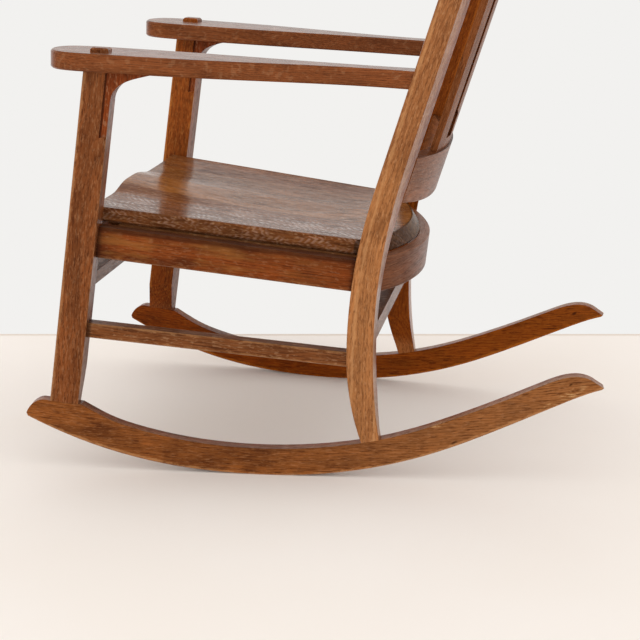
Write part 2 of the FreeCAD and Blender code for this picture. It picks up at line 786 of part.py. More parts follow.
def build():
    runner = rocker()
    corb = corbel()
    arm_body = arm()
    top_tenon = post_top_tenon()

    rail_mid = rail_top_z - rail_height / 2 / math.cos(math.radians(seat_slope))
    side_rail, rail_mortise = side_member(rail_inset, rail_thick, rail_height, rail_mid, seat_slope, 0.0)
    rail_edges = lambda e: e.Length > 300
    side_rail = ease(side_rail, 2.0, rail_edges)
    tie_y = front_post_y(stretcher_front_z) + front_post_width
    tie, tie_mortise = side_member(stretcher_inset, stretcher_thick, stretcher_height,
                                   stretcher_front_z, stretcher_slope, tie_y)
    tie = ease(tie, 1.5, rail_edges)

    z_rail = seat_plane(-320.0) - rail_height / 2 + 0.2
    y_rail = front_post_y(z_rail) + 8.0 + 11.0
    front_rail, front_rail_mortise = cross_bar(y_rail, z_rail, 22.0, rail_height, -seat_slope,
                                               post_thick, 9.0)
    y_tie = front_post_y(front_stretcher_z) + front_post_width - front_stretcher_depth / 2 - 3.0
    front_tie, front_tie_mortise = cross_bar(y_tie, front_stretcher_z, front_stretcher_depth,
                                             front_stretcher_height, -front_post_lean, post_thick, 14.0)
    y_back = rear_post_back_y - rear_stretcher_depth / 2 - 1.0
    back_tie, back_tie_mortise = cross_bar(y_back, rear_stretcher_z, rear_stretcher_depth,
                                           rear_stretcher_height, 0.0, rear_post_thick, 14.0)

    apron_body = apron_band(0.0, apron_thick, -apron_height, 0.0).common(between(rear_post_thick))
    apron_body = ease(apron_body, 1.5, lambda e: e.Length > 350)
    apron = join(apron_body, apron_tenons(0.0))
    apron_loose = apron_tenons(fit_gap)
    low_edge = -lower_rail_height - lower_rail_belly
    low_body, low_stick, low_loose = bowed_rail(back_band, back_rail_thick, low_edge, 0.0, 9.0, 18.0)
    crest_low = crest_end_up - crest_height
    top_body, top_stick, top_loose = bowed_rail(back_band, back_rail_thick, crest_low,
                                                crest_end_up + crest_rise + 4.0, 9.0, 14.0)
    keep = box(-300, 300, -300, 300, crest_low - 20, crest_end_up - 26.0)
    top_stick = top_stick.common(up_the_back(keep))
    top_loose = top_loose.common(up_the_back(keep.translated(V(0, 0, fit_gap))))
    crest = crest_shape(join(top_body, top_stick))
    low_rail = belly(join(low_body, low_stick))

    mid = (back_rail_thick - splat_thick) / 2 - 0.5
    width = up_the_back(box(-splat_half, splat_half, -300, 300, -100, 900))
    splat = back_band(mid, splat_thick, 0.0, crest_low).common(width)
    tongue_side = 2.5
    tongue_width = up_the_back(box(-splat_half + 8, splat_half - 8, -300, 300, -100, 900))
    tongue = back_band(mid + tongue_side, splat_thick - 2 * tongue_side, -splat_tongue,
                       crest_low + splat_tongue).common(tongue_width)
    groove_width = up_the_back(box(-splat_half + 8 - fit_gap, splat_half - 8 + fit_gap, -300, 300, -100, 900))
    groove = back_band(mid + tongue_side - fit_gap, splat_thick - 2 * tongue_side + 2 * fit_gap,
                       -splat_tongue - 1.0, crest_low + splat_tongue + 1.0).common(groove_width)
    splat = join(splat, tongue)
    for sign in (-1, 1):
        splat = splat.cut(splat_slot(sign))
    low_rail = low_rail.cut(groove)
    crest = crest.cut(groove)

    pad_mid = front_post_y(102.0) + front_post_width / 2
    heel = rear_post_front_y + rear_post_foot_kick + 14.5
    heel_z = runner_top_z(heel)
    dowels = [foot_dowel(pad_mid, 103.0, front_post_lean), foot_dowel(heel, heel_z, -6.0)]
    dowel_holes = [d.copy() for d in dowels]

    post = join(front_post_blank(), top_tenon).cut(corbel_notch())
    post = post.cut(rail_mortise).cut(tie_mortise).cut(runner)
    rear = rear_post_blank().cut(rail_mortise).cut(tie_mortise).cut(runner).cut(arm_tenon(fit_gap))
    arm_body = join(arm_body, arm_tenon(0.0)).cut(top_tenon)
    for hole in dowel_holes:
        post = post.cut(hole)
        rear = rear.cut(hole)
        runner = runner.cut(hole)

    world_post = left(post).cut(front_rail_mortise).cut(front_tie_mortise)
    world_rear = left(rear).cut(back_tie_mortise).cut(apron_loose).cut(low_loose).cut(top_loose)
    world_post = max(world_post.Solids, key=lambda s: s.Volume)
    world_rear = max(world_rear.Solids, key=lambda s: s.Volume)

    y_face = y_rail + 11.0
    cleat_f = front_cleat(y_face + 1.2)
    cleat_f = cleat_f.cut(front_rail)
    cleat_s = side_cleat()
    apron_room = apron_band(-1.0, apron_thick + 2.0, -apron_height - 1.0, 1.0)

    axis = V(0, math.sin(math.radians(seat_slope)), math.cos(math.radians(seat_slope)))
    screws = []
    for x, y in seat_screw_spots():
        head = V(x, y, seat_plane(y)) - axis * (cleat_height - 3.0)
        screws.append(wood_screw(head, axis, cleat_height + 5.0, seat_screw_dia))
    boards = seat_pieces()
    left_cleat = left(cleat_s).cut(apron_room)
    right_cleat = right(cleat_s).cut(apron_room)
    for screw in screws:
        head = screw.Placement.Base
        sink = screw.fuse(Part.makeCylinder(seat_screw_dia, 6.0, head - axis * 6.0, axis)).removeSplitter()
        left_cleat = left_cleat.cut(sink)
        right_cleat = right_cleat.cut(sink)
        cleat_f = cleat_f.cut(sink)
        boards = [b.cut(screw) for b in boards]

    pair(softened(runner, rocker_arris, rocker_thick), "rocker")
    save(world_post, "front_post_left")
    save(world_post.mirror(V(0, 0, 0), V(1, 0, 0)), "front_post_right")
    save(world_rear, "rear_post_left")
    save(world_rear.mirror(V(0, 0, 0), V(1, 0, 0)), "rear_post_right")
    pair(side_rail, "side_rail")
    pair(tie, "side_stretcher")
    save(front_rail, "front_rail")
    save(front_tie, "front_stretcher")
    save(back_tie, "rear_stretcher")
    save(apron, "rear_apron")
    save(low_rail, "lower_back_rail")
    save(crest, "crest_rail")
    save(splat, "back_splat")
    pair(arm_body, "arm")
    pair(corb, "arm_corbel")
    save(left_cleat, "seat_cleat_left")
    save(right_cleat, "seat_cleat_right")
    save(cleat_f, "seat_cleat_front")
    for number, board in enumerate(boards):
        save(board, "seat_board_" + str(number + 1))
    pegs = []
    for d in dowels:
        pegs.append(left(d))
        pegs.append(right(d))
    save(Part.makeCompound(pegs), "rocker_dowels")
    save(Part.makeCompound(screws), "seat_screws")


build()
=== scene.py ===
import math
from types import SimpleNamespace
import bpy
from mathutils import Euler, Matrix, Vector

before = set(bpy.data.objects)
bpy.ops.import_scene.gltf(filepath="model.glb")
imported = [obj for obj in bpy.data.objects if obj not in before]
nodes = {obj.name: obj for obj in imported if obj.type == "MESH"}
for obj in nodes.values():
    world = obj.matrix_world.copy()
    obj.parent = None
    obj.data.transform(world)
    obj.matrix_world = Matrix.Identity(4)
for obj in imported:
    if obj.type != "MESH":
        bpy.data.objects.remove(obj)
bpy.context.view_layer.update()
print("frame loaded with", len(nodes), "nodes")


# a value inside a shader: arithmetic on it adds the Math nodes it stands for
class Flow:
    def __init__(self, net, socket):
        self.net = net
        self.socket = socket

    def act(self, operation, *others):
        return self.net.node("ShaderNodeMath", {"operation": operation}, dict(enumerate((self, *others))))

    def __add__(self, other):
        return self.act("ADD", other)

    __radd__ = __add__

    def __mul__(self, other):
        return self.act("MULTIPLY", other)

    __rmul__ = __mul__

    def __sub__(self, other):
        return self.act("SUBTRACT", other)

    def __rsub__(self, other):
        return self.net.node("ShaderNodeMath", {"operation": "SUBTRACT"}, {0: other, 1: self})

    def __truediv__(self, other):
        return self.act("DIVIDE", other)

    def __rtruediv__(self, other):
        return self.net.node("ShaderNodeMath", {"operation": "DIVIDE"}, {0: other, 1: self})

    def __abs__(self):
        return self.act("ABSOLUTE")

    def square(self):
        return self * self

    def root(self):
        return self.act("SQRT")

    def least(self, other):
        return self.act("MINIMUM", other)

    def most(self, other):
        return self.act("MAXIMUM", other)

    def part(self):
        return self.act("FRACT")

    # smooth step from 0 at low to 1 at high; low above high runs the other way
    def rise(self, low, high):
        settings = {"interpolation_type": "SMOOTHSTEP", "clamp": True}
        if low < high:
            return self.net.node("ShaderNodeMapRange", settings, {0: self, 1: low, 2: high, 3: 0.0, 4: 1.0})
        return self.net.node("ShaderNodeMapRange", settings, {0: self, 1: high, 2: low, 3: 1.0, 4: 0.0})


# a node tree with one method that adds any node
class Net:
    def __init__(self, tree):
        self.tree = tree
        tree.nodes.clear()

    def node(self, kind, settings=None, inputs=None, out=0):
        made = self.tree.nodes.new(kind)
        for name, value in (settings or {}).items():
            setattr(made, name, value)
        for name, value in (inputs or {}).items():
            socket = made.inputs[name]
            if isinstance(value, Flow):
                self.tree.links.new(value.socket, socket)
            else:
                socket.default_value = value
        return Flow(self, made.outputs[out]) if made.outputs else None

    def xyz(self, x, y, z):
        return self.node("ShaderNodeCombineXYZ", None, {0: x, 1: y, 2: z})

    def split(self, vector):
        first = self.node("ShaderNodeSeparateXYZ", None, {0: vector})
        return [Flow(self, socket) for socket in first.socket.node.outputs]

    def noise(self, x, y, z, detail=2.0, rough=0.5):
        spot = self.xyz(x, y, z)
        inputs = {"Vector": spot, "Scale": 1.0, "Detail": detail, "Roughness": rough}
        return self.node("ShaderNodeTexNoise", {"noise_dimensions": "3D"}, inputs)

    def mix(self, factor, first, second, blendType="MIX"):
        inputs = {0: factor, 6: first, 7: second}
        return self.node("ShaderNodeMix", {"data_type": "RGBA", "blend_type": blendType}, inputs, 2)

    def finish(self, shader, kind="ShaderNodeOutputMaterial"):
        self.node(kind, None, {"Surface": shader})


def newNet(name):
    material = bpy.data.materials.new(name)
    material.use_nodes = True
    return material, Net(material.node_tree)


def linear(red, green, blue):
    # screen values 0 to 255 to the linear colour that a shader takes
    def one(value):
        value = value / 255.0
        return value / 12.92 if value <= 0.04045 else ((value + 0.055) / 1.055) ** 2.4
    return (one(red), one(green), one(blue), 1.0)


def blend(first, second, share):
    return tuple(a + (b - a) * share for a, b in zip(first, second))


# the chair's own layout in millimetres and degrees, as its pieces are set out
# a stretch is the length along a curve for one millimetre of its run
layout = {
    "halfWidth": 238.0, "toeIn": 5.06, "seatSlope": 6.5, "seatTopZ": 332.6,
    "frontLean": 8.37, "frontFootY": -377.0, "corbelFootY": -350.0,
    "rearLean": 17.55, "rearBend": 312.0, "rearSoft": 110.0, "rearFootY": 74.0, "rearStretch": 1.03,
    "backHalf": 193.0, "backBow": 31.4, "backEndY": 146.4, "backEndZ": 470.5,
    "apronBow": 55.0, "apronEndY": 90.0, "apronTopZ": 322.35,
    "rockerTouchY": -60.0, "rockerFront": 836.0, "rockerBack": 700.0, "rockerJoin": 20.0,
    "rockerStraight": 250.0, "rockerTail": 0.45, "rockerStretch": 1.08, "rockerGrain": 0.25,
    "slotReach": 96.0, "slotEdge": 3.0, "splatFront": -13.3, "splatRear": -3.7, "splatEdge": 0.6,
}
millimetres = 1000.0   # in a metre, which is the unit of Object coordinates


# the piece's place in millimetres: side +1 or -1 lies flat in a side frame, 0 stays in the chair's frame
def sideCoords(net, side):
    spot = net.node("ShaderNodeTexCoord", None, None, "Object")
    turn = math.radians(-layout["toeIn"]) if side else 0.0
    shift = Vector((layout["halfWidth"], 0.0, 0.0)) if side else Vector((0.0, 0.0, 0.0))
    flip = -1.0 if side < 0 else 1.0
    place = -(Matrix.Rotation(turn, 3, "Z") @ shift)
    inputs = {"Vector": spot, "Location": place, "Rotation": Euler((0.0, 0.0, turn)),
              "Scale": (millimetres * flip, millimetres, millimetres)}
    return net.split(net.node("ShaderNodeMapping", {"vector_type": "POINT"}, inputs))


# each of these turns a place into (along the grain, through the thickness, across the width)
def leaning(net, side, degrees, footY):
    x, y, z = sideCoords(net, side)
    c, s = math.cos(math.radians(degrees)), math.sin(math.radians(degrees))
    return y * s + z * c, x, (y - footY) * c - z * s


def bentPost(net, side):
    # upright below, swinging over to the back's lean: the middle line is y = lean * softened (z - bend)
    x, y, z = sideCoords(net, side)
    above = z - layout["rearBend"]
    lean = 0.5 * math.tan(math.radians(layout["rearLean"]))
    soft = (above + (above.square() + layout["rearSoft"] ** 2).root()) * lean
    return z * layout["rearStretch"], x, y - soft - layout["rearFootY"]


def levelBar(net, side, degrees, startY, startZ):
    x, y, z = sideCoords(net, side)
    c, s = math.cos(math.radians(degrees)), math.sin(math.radians(degrees))
    return (y - startY) * c - (z - startZ) * s, x, (y - startY) * s + (z - startZ) * c


def crossBar(net, midY, midZ):
    x, y, z = sideCoords(net, 0)
    return x, y - midY, z - midZ


def rockerSweep(net, side):
    # the under edge is an arc on each side of the touching point, and runs straight into the tail
    x, y, z = sideCoords(net, side)
    run = y - layout["rockerTouchY"]
    bend = run.least(layout["rockerStraight"])
    join, front, back = layout["rockerJoin"], layout["rockerFront"], layout["rockerBack"]
    radius = front - run.rise(-join, join) * (front - back)
    under = radius - (radius.square() - bend.square()).root() + (run - bend) * layout["rockerTail"]
    return run * layout["rockerStretch"], x, z, under


def sawnRocker(net, side):
    # sawn from a straight plank, so the grain follows only a part of the sweep
    along, deep, high, under = rockerSweep(net, side)
    return along, deep, high - under * layout["rockerGrain"]


def rockerHeight(net, side):
    along, deep, high, under = rockerSweep(net, side)
    return high - under


def bowed(net, endY, endZ, degrees, bow):
    # a band bent round a leaning axis: arc length, depth from the outer face, height up the band
    x, y, z = sideCoords(net, 0)
    c, s = math.cos(math.radians(degrees)), math.sin(math.radians(degrees))
    out = (y - endY) * c - (z - endZ) * s
    up = (y - endY) * s + (z - endZ) * c
    radius = (layout["backHalf"] ** 2 + bow ** 2) / (2.0 * bow)
    far = out + (radius - bow)
    arc = x.act("ARCTAN2", far) * radius
    deep = (x.square() + far.square()).root() - radius
    return arc, deep, up


def backBand(net):
    return bowed(net, layout["backEndY"], layout["backEndZ"], layout["rearLean"], layout["backBow"])


def apronBand(net):
    return bowed(net, layout["apronEndY"], layout["apronTopZ"], layout["seatSlope"], layout["apronBow"])


def uprightSplat(net):
    # on the back's bow, with the grain standing
    arc, deep, up = backBand(net)
    return up, deep, arc


def slotWall(net):
    # 1 on the walls of the splat's slots, between its two faces
    up, deep, arc = uprightSplat(net)
    rear, front, reach = layout["splatRear"], layout["splatFront"], layout["slotReach"]
    inside = deep.rise(rear, rear - layout["splatEdge"]) * deep.rise(front, front + layout["splatEdge"])
    return inside * abs(arc).rise(reach + layout["slotEdge"], reach)


def seatPlank(net):
    x, y, z = sideCoords(net, 0)
    slope = math.tan(math.radians(layout["seatSlope"]))
    return y, z + y * slope - layout["seatTopZ"], x


# the wood itself, in millimetres; the bump's height is in metres
oakGrain = {
    "ringGap": 3.0, "streakLong": 22.0, "streakWide": 1.3, "glintLong": 18.0, "glintWide": 1.1,
    "poreLong": 7.0, "poreWide": 0.5, "rayLong": 9.0, "rayThin": 2.6, "rayDeep": 16.0,
    "bumpHeight": 0.00022, "bumpStrength": 0.35,
}

# slow noises: turns per millimetre along, in depth and across (for the patch along, across and in depth),
# how far they push the grain about, and how far apart the patterns of two seeds lie
oakDrift = {
    "sway": (0.004, 0.012, 0.012), "waver": (0.011, 0.03, 0.03), "cloud": (0.014, 0.03, 0.036),
    "rub": (0.05, 0.1, 0.1), "blotch": (0.016, 0.05, 0.075), "patch": (0.03, 0.05, 0.06),
    "swayOut": 26.0, "swayBeside": 18.0, "swayThick": 9.0, "swayWide": 7.0,
    "waverOut": 5.0, "waverBeside": 4.0, "yearsOut": 0.13, "yearsAlong": 0.0018, "yearsPush": 1.6,
    "seedA": 17.3, "seedB": 9.1,
}

# where each mask begins and where it is full, on the value it reads
oakMasks = {
    "years": (0.32, 0.68), "earlyWood": (0.55, 0.05), "ringStart": (0.93, 1.0),
    "darkCloud": (0.46, 0.72), "paleCloud": (0.46, 0.28), "streak": (0.50, 0.36), "glint": (0.52, 0.70),
    "ray": (0.56, 0.68), "pore": (0.55, 0.65), "blotch": (0.44, 0.66),
    "strokeStart": (0.04, 0.36), "strokeEnd": (0.84, 0.40), "strokeStreak": (0.36, 0.60),
    "patch": (0.38, 0.58), "rub": (3.6, 0.3), "knot": (1.5, 0.3),
    "scuff": (1.0, 0.3), "scuffGlint": (0.49, 0.59), "scuffStreak": (0.38, 0.54),
    "glance": (0.28, 0.80), "closeStreak": (0.34, 0.58), "closeGlint": (0.40, 0.66),
}

# how much each mask changes the colour, the roughness and the height
oakShares = {
    "years": 0.8, "yearsPale": 0.8, "early": 0.26, "pores": 0.5, "latePores": 0.25,
    "stroke": 0.45, "strokeRim": 0.17, "knot": 0.85, "scuff": 0.85, "dustAndShade": 0.8, "seam": 0.75,
}
oakRough = {"base": -0.05, "pores": 0.12, "rays": -0.05, "cloud": 0.10, "stroke": -0.06, "rubbed": 0.08}
oakHeight = {"glint": 0.3, "pores": 0.9, "early": 0.18, "streak": 0.3}

# marks of use and painted shade: a squeeze below 1 makes a mark longer along the grain, ragged breaks up its
# rim
markShape = {
    "knotSqueeze": 0.3, "knotRagged": 0.8, "scuffSqueeze": 0.1, "edgeRagged": 12.0, "seamCore": 0.35,
    "dustShadeFull": 0.5, "dustShadeCloud": 0.6, "dustShadeBase": 0.5, "blotchStreak": 0.6, "blotchBase": 0.7,
    "innerStart": 0.35, "innerFull": 0.75,
}

# colours that every finish leans toward in its marks and its painted shade, and how far
oakTints = {
    "glint": (linear(214, 176, 132), 0.25), "ray": (linear(214, 180, 140), 0.45),
    "stroke": (linear(198, 168, 150), 0.6), "rubbed": (linear(214, 168, 118), 0.5),
    "pore": ((0.008, 0.004, 0.002, 1.0), 0.6), "knot": ((0.012, 0.006, 0.003, 1.0), 0.5),
    "dustAndShade": ((0.006, 0.003, 0.002, 1.0), 0.65), "seam": ((0.02, 0.004, 0.001, 1.0), 0.6),
    "scuff": (linear(202, 160, 110), 1.0),
}

# A finish holds what a user would change about one kind of piece, in millimetres and shares.
# tone: middle colour on screen. gloss: roughness. heart: heart line (depth, across).
# grain: changes to oakGrain. clouds, streaks, glints, fleck: share of each figure.
# sheen: wax at a glance. specular: gloss of the bare wood. even: how little the sheen follows the grain.
# fade: (from, to, share, colour) along the piece. blotch: the same in patches.
# knots, scuffs: (along, height, size) of each. level: height on a piece whose grain runs off its edge.
# edges: (two faces in depth, two across, share). ends: (from, to, reach) of dust and painted shade. seam:
# (line, reach).
# inner: painted shade, as (depth of the face, tone at its end, tone at its start, from, to).
# face: one face with a tone of painted shade (a painted sheen on the apron's top), found by a mask on what
# its spot returns, and the sheen it loses.
# chevron: (row, step, share, from, to) of the herringbone. toe: taper of the seat's sides.
# rimPale, rimDull: how far out the seat's eased edge takes paler strokes and less sheen.
plainOak = {
    "clouds": 0.45, "streaks": 0.5, "glints": 0.4, "fleck": 0.3, "sheen": 0.825, "specular": 0.045,
    "even": 0.0,
}


def tones(red, green, blue):
    # pale, middle and dark of one stained board, as screen colours round a middle one; the dark is redder
    def step(*shift):
        return linear(*[min(255.0, value * (1.0 + k)) for value, k in zip((red, green, blue), shift)])
    return step(0.26, 0.26, 0.26), step(0.0, 0.0, 0.0), step(-0.36, -0.45, -0.52)


def drift(net, spot, name, shifts, detail, rough=0.5):
    # slow noise at a place; the shifts keep the pieces from sharing one pattern
    turns = [value * rate + shift for value, rate, shift in zip(spot, oakDrift[name], shifts)]
    return net.noise(*turns, detail, rough)


# oak as a solid: rings about a heart line, dark vessel streaks, pores, and ray sheets out from the heart
def oakFigure(net, place, look, grain, seed):
    fig = SimpleNamespace(spot=place(net), seedA=oakDrift["seedA"] * seed, seedB=oakDrift["seedB"] * seed)
    fig.along, fig.deep, fig.across = fig.spot
    along, deep, across = fig.spot
    seedA, seedB = fig.seedA, fig.seedB
    heartDeep, heartAcross = look["heart"]
    sway = drift(net, fig.spot, "sway", (seedA, 0.0, seedB), 2.0) - 0.5
    fig.waver = drift(net, fig.spot, "waver", (seedB, 0.0, seedA), 3.0) - 0.5
    out = deep - heartDeep + sway * oakDrift["swayOut"] + fig.waver * oakDrift["waverOut"]
    beside = across - heartAcross + sway * oakDrift["swayBeside"] - fig.waver * oakDrift["waverBeside"]
    ringAt = (out.square() + beside.square()).root()
    roundHeart = beside.act("ARCTAN2", out) * math.hypot(heartDeep, heartAcross)
    fig.years = net.noise(ringAt * oakDrift["yearsOut"] + seedA, along * oakDrift["yearsAlong"],
                          seedB, 3.0, 0.6)
    ring = (ringAt / grain["ringGap"] + fig.years * oakDrift["yearsPush"]).part()
    fig.early = ring.rise(*oakMasks["earlyWood"]) + ring.rise(*oakMasks["ringStart"])

    thick, wide = deep + sway * oakDrift["swayThick"], across + sway * oakDrift["swayWide"]
    fig.streak = net.noise(along / grain["streakLong"] + seedB, thick / grain["streakWide"],
                           wide / grain["streakWide"] + seedA, 3.0, 0.6)
    fig.glint = net.noise(along / grain["glintLong"] + seedA, thick / grain["glintWide"],
                          wide / grain["glintWide"] + seedB, 3.0, 0.6)
    pore = net.noise(along / grain["poreLong"] + seedB, deep / grain["poreWide"],
                     across / grain["poreWide"], 1.0)
    ray = net.noise(along / grain["rayLong"] + seedA, roundHeart / grain["rayThin"],
                    ringAt / grain["rayDeep"] + seedB, 2.0, 0.55)
    fig.rays = ray.rise(*oakMasks["ray"])
    late = oakShares["latePores"]   # most pores lie in the early wood
    fig.pores = pore.rise(*oakMasks["pore"]) * (fig.early * (1.0 - late) + late).least(1.0)
    fig.cloud = drift(net, fig.spot, "cloud", (seedA, seedB, 0.0), 3.0, 0.55)
    fig.level = look["level"](net) if "level" in look else across
    fig.rim = abs(across) + along * look["toe"] if "toe" in look else None   # how far toward the seat's side
    fig.stroke = herringbone(net, fig, look) if "chevron" in look else None
    fig.rubbed = rubbedEdge(net, fig, look) if "edges" in look else None
    fig.face = look["face"]["spot"](net).rise(*look["face"]["mask"]) if "face" in look else None
    return fig


# how far the rows and the steps of the strokes wander
chevronShape = {
    "deep": 15.0, "rowWaver": 2.2, "rowGlint": 0.5, "slant": 0.9, "stepWaver": 5.0, "stepGlint": 0.9,
}


def herringbone(net, fig, look):
    # rays cut slantwise: strokes that meet in a point along rows, in patches
    rows, step, share, low, high = look["chevron"]
    shape = chevronShape
    row = fig.across / rows + fig.deep / shape["deep"] + fig.waver * shape["rowWaver"]
    zig = abs((row + fig.glint * shape["rowGlint"]).part() - 0.5) * 2.0
    stroke = fig.along / step + zig * shape["slant"] + fig.waver * shape["stepWaver"]
    stroke = (stroke + fig.glint * shape["stepGlint"]).part()
    stroke = stroke.rise(*oakMasks["strokeStart"]) * stroke.rise(*oakMasks["strokeEnd"])
    stroke = stroke * fig.streak.rise(*oakMasks["strokeStreak"])
    patch = drift(net, (fig.along, fig.across, fig.deep), "patch", (fig.seedB, fig.seedA, 0.0), 3.0)
    return stroke * patch.rise(*oakMasks["patch"]) * fig.across.rise(low, high) * share


def rubbedEdge(net, fig, look):
    # near two faces at once, broken up along the length
    deepA, deepB, levelA, levelB, share = look["edges"]
    inDepth = abs(fig.deep - deepA).least(abs(fig.deep - deepB))
    inLevel = abs(fig.level - levelA).least(abs(fig.level - levelB))
    rub = drift(net, fig.spot, "rub", (fig.seedA, 0.0, fig.seedB), 4.0, 0.7)
    ragged = (0.5 - rub) * markShape["edgeRagged"]
    return (inDepth.most(inLevel) + ragged).rise(*oakMasks["rub"]) * share


def markDistance(fig, mark, squeeze):
    # 1 at the mark's own size
    along, level, size = mark
    return ((fig.along - along).square() * squeeze + (fig.level - level).square()).root() / size


def tinted(tone, name):
    tint, share = oakTints[name]
    return blend(tone, tint, share)


def oakColour(net, fig, look):
    # the stained wood with its figure; marks of use, painted shade at joints and faces with painted shade
    # and sheen come after
    pale, mid, dark = tones(*look["tone"])
    goodYear = blend(mid, pale, oakShares["yearsPale"])
    wood = net.mix(fig.years.rise(*oakMasks["years"]) * oakShares["years"], mid, goodYear)
    wood = net.mix(fig.cloud.rise(*oakMasks["darkCloud"]) * look["clouds"], wood, dark)
    wood = net.mix(fig.cloud.rise(*oakMasks["paleCloud"]) * look["clouds"], wood, pale)
    if "fade" in look:
        low, high, share, colour = look["fade"]
        wood = net.mix(fig.along.rise(low, high) * share, wood, linear(*colour))
    wood = net.mix(fig.early * oakShares["early"], wood, dark)
    wood = net.mix(fig.streak.rise(*oakMasks["streak"]) * look["streaks"], wood, dark)
    wood = net.mix(fig.glint.rise(*oakMasks["glint"]) * look["glints"], wood, tinted(pale, "glint"))
    wood = net.mix(fig.rays * look["fleck"], wood, tinted(pale, "ray"))
    if fig.stroke is not None:
        # paler on the eased edge than on top, where the strokes show mostly by their sheen
        share = fig.rim.rise(*look["rimPale"]) * oakShares["strokeRim"] + oakShares["stroke"]
        wood = net.mix(fig.stroke * share, wood, tinted(pale, "stroke"))
    wood = net.mix(fig.pores * oakShares["pores"], wood, tinted(dark, "pore"))
    wood = addMarks(net, wood, pale, dark, fig, look)
    return paintLightAndShade(net, wood, fig, look)


def addMarks(net, wood, pale, dark, fig, look):
    if "blotch" in look:
        # patches where the stain took less, yellower, kept to one end
        low, high, share, colour = look["blotch"]
        patch = drift(net, fig.spot, "blotch", (fig.seedA, 0.0, fig.seedB), 4.0, 0.6)
        broken = fig.streak * markShape["blotchStreak"] + markShape["blotchBase"]
        patch = patch.rise(*oakMasks["blotch"]) * fig.along.rise(low, high) * broken
        wood = net.mix(patch * share, wood, linear(*colour))
    for mark in look.get("knots", ()):
        knot = markDistance(fig, mark, markShape["knotSqueeze"])
        knot = knot + (fig.glint - 0.5) * markShape["knotRagged"]
        wood = net.mix(knot.rise(*oakMasks["knot"]) * oakShares["knot"], wood, tinted(dark, "knot"))
    for mark in look.get("scuffs", ()):
        # pale scratches in one spot
        scratch = fig.glint.rise(*oakMasks["scuffGlint"]) * fig.streak.rise(*oakMasks["scuffStreak"])
        scuff = markDistance(fig, mark, markShape["scuffSqueeze"]).rise(*oakMasks["scuff"]) * scratch
        wood = net.mix(scuff * oakShares["scuff"], wood, tinted(pale, "scuff"))
    if fig.rubbed is not None:
        wood = net.mix(fig.rubbed, wood, tinted(pale, "rubbed"))
    if "ends" in look:
        # darker where the ends meet other members: dust there, and painted shade at the joints
        low, high, reach = look["ends"]
        nearEnd = (fig.along - low).least(high - fig.along).rise(reach, markShape["dustShadeFull"])
        dustAndShade = nearEnd * (fig.cloud * markShape["dustShadeCloud"] + markShape["dustShadeBase"])
        wood = net.mix(dustAndShade.least(1.0) * oakShares["dustAndShade"], wood, tinted(dark, "dustAndShade"))
    if "seam" in look:
        # dark line along the joint with the piece beside it; on the corbel this is painted shade in the
        # joint
        line, reach = look["seam"]
        dirt = abs(fig.across - line).rise(reach, reach * markShape["seamCore"])
        wood = net.mix(dirt * oakShares["seam"], wood, tinted(dark, "seam"))
    return wood


def paintLightAndShade(net, wood, fig, look):
    if "inner" in look:
        # painted shade: the face turned to the chair's middle takes a darker, redder tone, which changes
        # along the piece
        far, toneEnd, toneStart, low, high = look["inner"]
        tone = net.mix(fig.along.rise(low, high), toneStart, toneEnd)
        turned = fig.deep.rise(far * markShape["innerStart"], far * markShape["innerFull"])
        wood = net.mix(turned, wood, tone, "MULTIPLY")
    # painted shade on one face, and a painted sheen on the apron's top
    if fig.face is not None:
        wood = net.mix(fig.face, wood, look["face"]["tone"], "MULTIPLY")
    return wood


# shares of the sheen that follow the grain, that strokes add and that the seat's eased edge loses
sheenShape = {
    "streak": 0.6, "glint": 0.5, "base": 0.15, "evenBase": 0.5, "stroke": 0.82, "rimLoss": 0.6,
    "coatRough": 0.8,   # of the bare wood's roughness
}


def waxSheen(net, fig, look):
    # the waxed face shines only at a glance, and more on the close late wood than on the open pores
    glance = net.node("ShaderNodeLayerWeight", None, {"Blend": 0.5}, "Facing").rise(*oakMasks["glance"])
    shape, even = sheenShape, look["even"]
    close = fig.streak.rise(*oakMasks["closeStreak"]) * shape["streak"]
    close = close + fig.glint.rise(*oakMasks["closeGlint"]) * shape["glint"]
    close = close * (1.0 - even) + (shape["base"] + shape["evenBase"] * even)
    sheen = glance * close * look["sheen"]
    if fig.stroke is not None:
        sheen = sheen + fig.stroke * glance * shape["stroke"]
    if fig.rim is not None:
        # the eased edge lies away from the light behind
        sheen = sheen * (1.0 - fig.rim.rise(*look["rimDull"]) * shape["rimLoss"])
    # a face with painted shade loses sheen as well
    if fig.face is not None:
        sheen = sheen * (1.0 - fig.face * look["face"]["dulling"])
    return sheen.least(1.0)


def oakMaterial(name, place, look, seed):
    material, net = newNet(name)
    grain = dict(oakGrain, **look.get("grain", {}))
    fig = oakFigure(net, place, look, grain, seed)
    rough = fig.pores * oakRough["pores"] + fig.rays * oakRough["rays"] + fig.cloud * oakRough["cloud"]
    rough = rough + (look["gloss"] + oakRough["base"])
    if fig.stroke is not None:
        rough = rough + fig.stroke * oakRough["stroke"]
    if fig.rubbed is not None:
        rough = rough + fig.rubbed * oakRough["rubbed"]
    height = fig.glint * oakHeight["glint"] - fig.pores * oakHeight["pores"] - fig.early * oakHeight["early"]
    height = height - fig.streak.rise(*oakMasks["streak"]) * oakHeight["streak"]
    bump = net.node("ShaderNodeBump", None, {
        "Strength": grain["bumpStrength"], "Distance": grain["bumpHeight"], "Height": height})
    coatRough = look["gloss"] * sheenShape["coatRough"]
    net.finish(net.node("ShaderNodeBsdfPrincipled", None, {
        "Base Color": oakColour(net, fig, look), "Roughness": rough, "Normal": bump,
        "Specular IOR Level": look["specular"],
        "Coat Weight": waxSheen(net, fig, look), "Coat Roughness": coatRough}))
    return material


def wear(node, place, look, seed):
    piece = nodes[node]
    piece.data.materials.clear()
    piece.data.materials.append(oakMaterial("oak_" + node, place, dict(plainOak, **look), seed))


